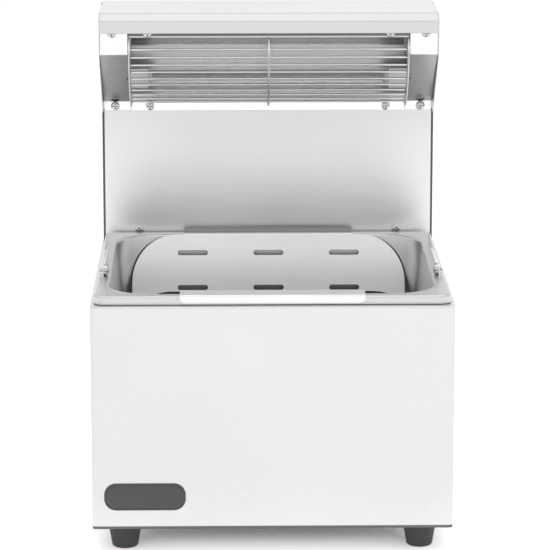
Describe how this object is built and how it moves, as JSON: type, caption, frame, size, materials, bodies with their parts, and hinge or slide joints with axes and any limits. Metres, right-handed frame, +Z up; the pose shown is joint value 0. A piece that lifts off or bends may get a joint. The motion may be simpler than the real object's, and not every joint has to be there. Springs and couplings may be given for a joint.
{
  "type": "chip warmer",
  "caption": "Counter-top chip warmer: a sheet-steel body with a drop-in pan and slotted drain insert under a lamp hood on a riser.",
  "frame": {"origin": "on the surface it stands on, in the middle of its overall bounding box", "axes": "+Z up, front faces -Y, +X to the right seen from the front"},
  "size_m": [0.36, 0.3824, 0.5121],
  "materials": {
    "body_steel": "fine satin stainless steel",
    "inner_steel": "plain stainless sheet",
    "pan_steel": "satin pressed stainless steel",
    "insert_steel": "satin stainless sheet",
    "lug_steel": "satin",
    "cover_steel": "satin",
    "reflector_steel": "bright rolled sheet",
    "screw_steel": "bright",
    "guard_wire": "bright drawn wire",
    "foot_rubber": "matt moulded rubber",
    "badge": "smooth, bare",
    "ceramic": "glazed ceramic, off-white",
    "quartz": "clear quartz",
    "filament": "bare resistance wire",
    "lamp_lead": "glass-fibre sleeve",
    "black_lead": "insulated lead",
    "brass": "plain",
    "black_plastic": "moulded",
    "rocker_plastic": "moulded"
  },
  "bodies": {
    "chassis": {"casing": "body_steel", "floor_plate": "inner_steel", "rear_panel": "body_steel", "bulkhead": "inner_steel", "top_deck": "body_steel", "badge_plate": "badge", "foot_front_left": "foot_rubber", "foot_front_right": "foot_rubber", "foot_rear_left": "foot_rubber", "foot_rear_right": "foot_rubber", "foot_screws": "screw_steel", "floor_screws": "screw_steel", "rear_panel_screws": "screw_steel", "riser_front_sheet": "body_steel", "riser_rear_cover": "body_steel", "riser_bracket": "inner_steel", "riser_screws": "screw_steel", "riser_cover_screws": "screw_steel", "hood_roof": "body_steel", "hood_cheek_left": "body_steel", "hood_cheek_right": "body_steel", "hood_rail": "inner_steel", "lamp_cover_left": "cover_steel", "lamp_cover_right": "cover_steel", "reflector": "reflector_steel", "hood_screws": "screw_steel", "lamp_holder_left": "ceramic", "lamp_holder_right": "ceramic", "lamp_tube": "quartz", "lamp_filament": "filament", "lamp_caps": "ceramic", "wire_guard": "guard_wire", "lamp_leads": "lamp_lead", "terminal_block": "ceramic", "terminal_screws": "brass", "switch_body": "black_plastic", "switch_leads": "black_lead", "gland_body": "black_plastic", "gland_nut": "black_plastic", "earth_stud": "brass"},
    "pan_unit": {"pan": "pan_steel", "pan_lug_left": "lug_steel", "pan_lug_right": "lug_steel", "pan_lug_screws": "screw_steel"},
    "insert_unit": {"drain_insert": "insert_steel"},
    "rocker_unit": {"switch_rocker": "rocker_plastic"}
  },
  "joints": [
    {"name": "pan_lift", "type": "slide", "parent": "chassis", "child": "pan_unit", "axis": [0, 0, 1], "range_m": [0, 0.052]},
    {"name": "insert_lift", "type": "slide", "parent": "pan_unit", "child": "insert_unit", "axis": [0, 0, 1], "range_m": [0, 0.074]},
    {"name": "rocker_swing", "type": "hinge", "parent": "chassis", "child": "rocker_unit", "pos_m": [0.11, 0.1747, 0.0765], "axis": [-1, 0, 0], "range_deg": [0, 20]}
  ]
}
